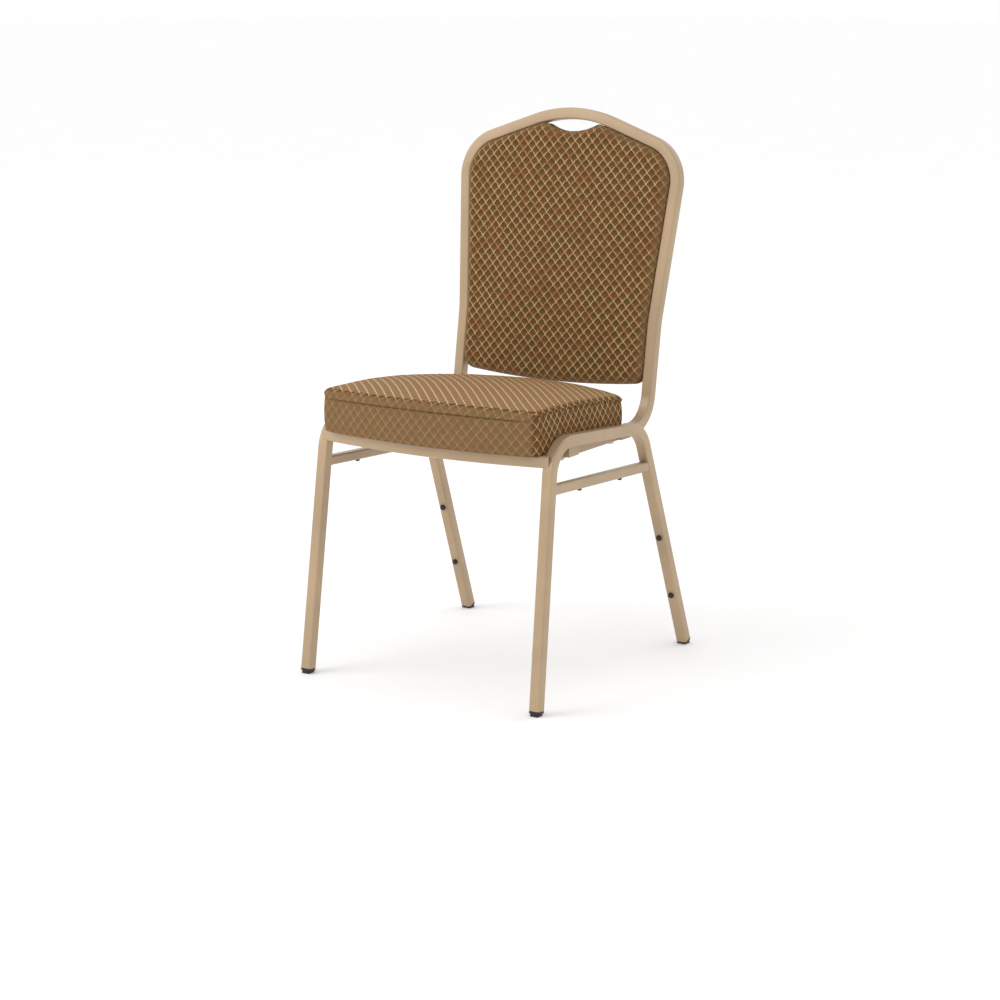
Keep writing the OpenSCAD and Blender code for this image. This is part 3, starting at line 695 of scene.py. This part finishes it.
class CHAIR_OT_seat(bpy.types.Operator):
    """Makes the seat: top cover with a rolled edge, side band and foam"""
    bl_idname = "chair.seat"
    bl_label = "Seat"

    def execute(self, context):
        shape = context.scene.chair_seat
        outline = seat_outline()
        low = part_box("seat_cover_band")[0][2]
        half_width = max(p.x for p in outline.points)
        rise = math.sqrt(shape.crown_radius ** 2 - half_width ** 2)

        def front_share(i):
            """1 along the front edge, 0 along the others."""
            return eased((-outline.normals[i].y - 0.55) / 0.38)

        share = [front_share(i) for i in range(len(outline.points))]
        roll = [shape.side_roll + (shape.roll - shape.side_roll) * s for s in share]
        seam = [-r - 0.0002 - 0.0010 * s for r, s in zip(roll, share)]
        # The crease fades out over its last stretch towards each front corner
        crease = [0.1 * MM + shape.crease * s * min(1.0, max(0.0, (0.205 - abs(p.x)) / 0.04))
                  for s, p in zip(share, outline.points)]
        front = min(p.y for p in outline.points)
        bows = [(p.y - front) / p.x ** 2 for p, s in zip(outline.points, share)
                if s > 0.99 and abs(p.x) > 0.08]
        bow = sum(bows) / len(bows)

        def dome(x, y):
            run = x ** 2 + (y + shape.crown_front) ** 2
            return shape.edge_height - rise + math.sqrt(shape.crown_radius ** 2 - run)

        end = half_width - 20 * MM
        end_height = dome(end, front + bow * end ** 2)

        def crown(flat):
            """The domed top, falling to a level front edge."""
            edge = front + bow * flat.x ** 2
            part = min(1.0, max(0.0, 1 - (flat.y - edge) / shape.fall))
            return dome(flat.x, flat.y) - max(0.0, dome(flat.x, edge) - end_height) * part ** 2

        edge_level = [crown(outline.inset(i, roll[i])) for i in range(len(roll))]

        def settled(flat, level, wave):
            rise_by = soft_wave(Vector((flat.x, flat.y, level)), shape.slack) * wave
            return Vector((flat.x, flat.y, level + rise_by))

        def roll_ring(angle, shrink=0.0):
            """A ring on the rolled edge, at an angle up from its outermost line."""
            def inset(i):
                return roll[i] * (1 - math.cos(angle)) + shrink

            def place(i, flat):
                level = edge_level[i] + roll[i] * (math.sin(angle) - 1) - shrink * math.sin(angle)
                return settled(flat, level, math.sin(angle))

            def spread(turn, flat, co):
                i = turn % len(roll)
                along = roll[i] * (math.pi / 2 - angle) - (roll[i] - inset(i))
                return flat + outline.normals[i] * along

            # Painted sheen on the front of the roll, fading up it; towards the top, painted raking
            # light
            def painted_weave_light(i):
                return share[i] * (2.4 * math.cos(angle) - 0.8) - (1 - math.cos(angle)) * 0.6

            return inset, place, spread, painted_weave_light

        def top_ring(distance, shrink=0.0):
            def place(i, flat):
                return settled(flat, crown(flat) - shrink, 1)

            # The whole top carries painted raking light
            return (lambda i: roll[i] + distance), place, (lambda turn, flat, co: flat), \
                (lambda i: -1.0)

        def seam_ring(depth, lift):
            def place(i, flat):
                return Vector((flat.x, flat.y, edge_level[i] + seam[i] + lift))

            def spread(turn, flat, co):
                i = turn % len(roll)
                return flat + outline.normals[i] * (roll[i] * 0.57 + 0.001)

            # Painted sheen along the front seam
            return (lambda i: crease[i] * depth), place, spread, (lambda i: share[i])

        def band_ring(distance, part, depth=0.0):
            """part runs from 0 at the bottom of the band to 1 at the seam."""
            def place(i, flat):
                level = low + (edge_level[i] + seam[i] - low) * part
                wave = soft_wave(Vector((flat.x, flat.y, level * 0.5)), shape.slack)
                flat = flat + outline.normals[i] * wave
                return Vector((flat.x, flat.y, level))

            def spread(turn, flat, co):
                return (turn / len(roll) * outline.length, co.z)

            # Painted sheen along the front of the band
            return (lambda i: distance + crease[i] * depth), place, spread, \
                (lambda i: share[i] * 0.88)

        steps = 8
        inner = [0.004, 0.009, 0.016, 0.026, 0.038, 0.052, 0.068, 0.086, 0.106, 0.126, 0.146,
                 0.162]
        top = [seam_ring(1.0, 0.0), seam_ring(0.45, 0.0008)]
        top += [roll_ring(math.pi / 2 * k / steps) for k in range(steps + 1)]
        top += [top_ring(d) for d in inner]
        peak = Vector((*SEAT_MIDDLE, crown(SEAT_MIDDLE)))
        cover = cloth()
        piece = finish_piece("seat_top_cover", loft(outline, top, close=(peak, tuple(SEAT_MIDDLE))),
                             cover, "cover_cloth", "seat_cover_top")
        thicken(piece)

        parts = [(0.0040, 0.0, 0), (0.0016, 0.015, 0), (0.0006, 0.06, 0), (0.0002, 0.18, 0),
                 (-0.0006, 0.34, 0), (-0.0008, 0.52, 0), (-0.0004, 0.70, 0), (0.0002, 0.84, 0),
                 (0.0005, 0.92, 0.2), (0.0005, 0.97, 0.6), (0.0, 1.0, 1.0)]
        band = [band_ring(*part) for part in parts]
        piece = finish_piece("seat_side_band", loft(outline, band), cover, "cover_cloth",
                             "seat_cover_band")
        thicken(piece)

        shrink = 0.0035
        block = [band_ring(0.006, 0.0), band_ring(0.0045, 0.06), band_ring(0.0035, 0.5),
                 band_ring(0.0035, 0.96, 1.0)]
        block += [roll_ring(math.pi / 2 * k / 4, shrink) for k in range(5)]
        block += [top_ring(d + shrink, shrink) for d in inner]
        bm = loft(outline, block, close=(peak - Vector((0, 0, shrink)), (0, 0)))
        bmesh.ops.edgeloop_fill(bm, edges=[e for e in bm.edges if len(e.link_faces) == 1])
        piece = finish_piece("seat_foam_block", bm, foam_block(), "foam", "seat_foam")
        return {"FINISHED"}


class CHAIR_OT_back(bpy.types.Operator):
    """Makes the back: front pad with a rolled edge, foam and rear cover"""
    bl_idname = "chair.back"
    bl_label = "Back"

    def execute(self, context):
        shape = context.scene.chair_back
        outline = back_outline("back_cover_front")
        found = [back_point(v.co)[1] for v in NODES["back_cover_front"].data.vertices]
        rear, front = min(found), max(found)
        rear_found = [back_point(v.co)[1] for v in NODES["back_cover_rear"].data.vertices]
        rear_low, rear_high = min(rear_found), max(rear_found)
        roll = shape.roll

        def fullness(inset):
            return shape.crown * eased((inset - roll) / 0.11)

        def ring(inset, out, unrolled=0.0, wave=0.0006, painted_weave_light=0.0):
            def place(i, flat):
                lift = soft_wave(Vector((flat.x, flat.y, 0.3)), wave)
                return back_place(flat, out + lift)

            def spread(turn, flat, co):
                i = turn % len(outline.points)
                return flat + outline.normals[i] * unrolled

            return inset, place, spread, lambda i: painted_weave_light

        def pad_rings(face, offset, steps=8):
            rings = []
            for k in range(steps + 1):
                angle = math.pi / 2 * k / steps
                inset = roll * (1 - math.cos(angle)) + offset
                out = face - roll + roll * math.sin(angle)
                along = roll * (math.pi / 2 - angle)
                # Painted sheen on the rolled edge, strongest at its outermost line
                rings.append(ring(inset, out, along - (roll - inset), painted_weave_light=0.8 * math.cos(angle)))
            return rings

        inner = [0.020, 0.028, 0.038, 0.05, 0.065, 0.08, 0.10, 0.12, 0.14, 0.16]
        face = front - 0.001
        shell = [ring(0.0012, rear + 0.0004, roll), ring(0.0002, rear + 0.003, roll * 0.8)]
        shell += pad_rings(face, 0.0)
        shell += [ring(d, face + fullness(d)) for d in inner]
        peak = back_place(BACK_MIDDLE, face + shape.crown)
        bm = loft(outline, shell, close=(peak, tuple(BACK_MIDDLE)))
        cover = cloth()
        piece = finish_piece("back_front_cover", bm, cover, "cover_cloth", "back_cover_front")
        thicken(piece)

        deep = 0.0035
        block = [ring(0.0045, rear + 0.0006), ring(0.0035, rear + 0.003)]
        block += pad_rings(face - deep, deep - 0.001, steps=5)
        block += [ring(d, face - deep + fullness(d)) for d in inner]
        bm = loft(outline, block, close=(peak - BACK_FRONT * deep, (0, 0)))
        bmesh.ops.edgeloop_fill(bm, edges=[e for e in bm.edges if len(e.link_faces) == 1])
        piece = finish_piece("back_foam_block", bm, foam_block(), "foam", "back_foam")

        slab = []
        soft = 0.0026
        for k in range(7):
            angle = math.pi * k / 6 - math.pi / 2
            out = (rear_low + rear_high) / 2 + (rear_high - rear_low) / 2 * -math.sin(angle)
            slab.append(ring(0.0004 + soft * (1 - math.cos(angle)), out, 0, wave=0.0))
        slab += [ring(d, rear_low - 0.0006, wave=0.0004) for d in inner]
        bm = loft(outline, slab,
                  close=(back_place(BACK_MIDDLE, rear_low - 0.0006), tuple(BACK_MIDDLE)))
        bmesh.ops.edgeloop_fill(bm, edges=[e for e in bm.edges if len(e.link_faces) == 1])
        bmesh.ops.recalc_face_normals(bm, faces=bm.faces)
        piece = finish_piece("back_rear_cover", bm, cover, "cover_cloth", "back_cover_rear")
        return {"FINISHED"}


class CHAIR_OT_inside(bpy.types.Operator):
    """Finishes the boards, dust cloth, nuts, screws, staples and clips"""
    bl_idname = "chair.inside"
    bl_label = "Boards and fixings"

    def execute(self, context):
        ply = board("Plywood", (0.60, 0.43, 0.25), (0.36, 0.22, 0.11))
        hard = board("Hardboard", (0.26, 0.14, 0.065), (0.17, 0.088, 0.04))
        smooth_copy("seat_board", "seat_board_cut", ply, "plywood", edge=0.5 * MM)
        smooth_copy("back_board", "back_board_cut", ply, "plywood", edge=0.5 * MM)
        smooth_copy("back_rear_panel", "back_rear_panel_cut", hard, "hardboard")
        smooth_copy("seat_dust_cloth", "seat_dust_cloth_laid", felt(), "dust_cloth")
        steel = plated_steel()
        for node in STEEL_NODES:
            smooth_copy(node, node + "_plated", steel, "zinc_steel", sharp=35)
        clip = moulded("Clip plastic", (0.05, 0.05, 0.05), 0.5, 600.0)
        smooth_copy("rear_panel_clips", "rear_panel_clips_moulded", clip, "clip_plastic")
        return {"FINISHED"}


class CHAIR_OT_stage(bpy.types.Operator):
    """Lays the floor and sets the lights and the camera"""
    bl_idname = "chair.stage"
    bl_label = "Stage"

    def execute(self, context):
        look = context.scene.chair_stage
        bm = bmesh.new()
        bmesh.ops.create_circle(bm, cap_ends=True, segments=96, radius=40)
        mesh = bpy.data.meshes.new("floor")
        bm.to_mesh(mesh)
        bm.free()
        made = Finish("Floor paint", Roughness=0.75, Specular_IOR_Level=0.2)
        tone = made.cloud(made.place(), 3.0)
        pale = tuple(look.floor)
        made.feed("Base Color", made.mix(tone, shade(pale, 0.99), shade(pale, 1.01)))
        mesh.materials.append(made.material)
        floor = bpy.data.objects.new("floor", mesh)
        context.scene.collection.objects.link(floor)
        floor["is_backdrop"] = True

        world = bpy.data.worlds.new("Sky")
        context.scene.world = world
        world.use_nodes = True
        sky = world.node_tree.nodes["Background"]
        sky.inputs["Color"].default_value = (1, 1, 1, 1)
        sky.inputs["Strength"].default_value = look.fill

        for name, place, size, power in (
            ("Key", (-2.4, -2.6, 2.8), 2.4, look.key),
            ("Rim", (1.6, 3.0, 3.0), 2.0, look.key * 0.15),
        ):
            data = bpy.data.lights.new(name, "AREA")
            data.shape = "SQUARE"
            data.size = size
            data.energy = power
            lamp = bpy.data.objects.new(name, data)
            lamp.location = place
            aim = Vector((0, 0, 0.45)) - Vector(place)
            lamp.rotation_euler = aim.to_track_quat("-Z", "Y").to_euler()
            context.scene.collection.objects.link(lamp)

        turn = math.radians(32.22)
        tilt = math.radians(12.675)
        aim = Vector((0, 0, 0.2762))
        distance = 4.145
        back = Vector((math.sin(turn) * math.cos(tilt), -math.cos(turn) * math.cos(tilt),
                       math.sin(tilt)))
        data = bpy.data.cameras.new("Camera")
        data.sensor_width = 36
        data.lens = 88.28
        data.clip_end = 200
        camera = bpy.data.objects.new("Camera", data)
        camera.location = aim + back * distance
        camera.rotation_euler = (-back).to_track_quat("-Z", "Y").to_euler()
        context.scene.collection.objects.link(camera)
        context.scene.camera = camera
        context.scene.view_settings.view_transform = "Standard"
        return {"FINISHED"}


class CHAIR_PT_panel(bpy.types.Panel):
    bl_label = "Stacking chair"
    bl_idname = "CHAIR_PT_panel"
    bl_space_type = "VIEW_3D"
    bl_region_type = "UI"
    bl_category = "Chair"

    def draw(self, context):
        for group, (label, name) in zip(GROUPS, GROUP_NAMES):
            box = self.layout.box()
            box.label(text=label)
            for key in group.__annotations__:
                box.prop(getattr(context.scene, name), key)
        for step in STEPS:
            self.layout.operator(step.bl_idname)


GROUPS = (FrameLook, ClothLook, SeatShape, BackShape, StageLook)
GROUP_NAMES = (
    ("Frame", "chair_frame"), ("Cloth", "chair_cloth"), ("Seat", "chair_seat"),
    ("Back", "chair_back"), ("Stage", "chair_stage"),
)
STEPS = (
    CHAIR_OT_frame, CHAIR_OT_feet, CHAIR_OT_inside, CHAIR_OT_seat, CHAIR_OT_back,
    CHAIR_OT_stage,
)


def register():
    for group, (label, name) in zip(GROUPS, GROUP_NAMES):
        bpy.utils.register_class(group)
        setattr(bpy.types.Scene, name, bpy.props.PointerProperty(type=group))
    for step in STEPS:
        bpy.utils.register_class(step)
    bpy.utils.register_class(CHAIR_PT_panel)


def unregister():
    bpy.utils.unregister_class(CHAIR_PT_panel)
    for step in reversed(STEPS):
        bpy.utils.unregister_class(step)
    for group, (label, name) in reversed(list(zip(GROUPS, GROUP_NAMES))):
        delattr(bpy.types.Scene, name)
        bpy.utils.unregister_class(group)


def main():
    register()
    bpy.ops.chair.frame()
    bpy.ops.chair.feet()
    bpy.ops.chair.inside()
    bpy.ops.chair.seat()
    bpy.ops.chair.back()
    bpy.ops.chair.stage()
    boxes = {"cad": CAD_BOX, "visual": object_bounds()}
    plain = {key: [[float(n) for n in corner] for corner in box] for key, box in boxes.items()}


if __name__ == "__main__":
    main()
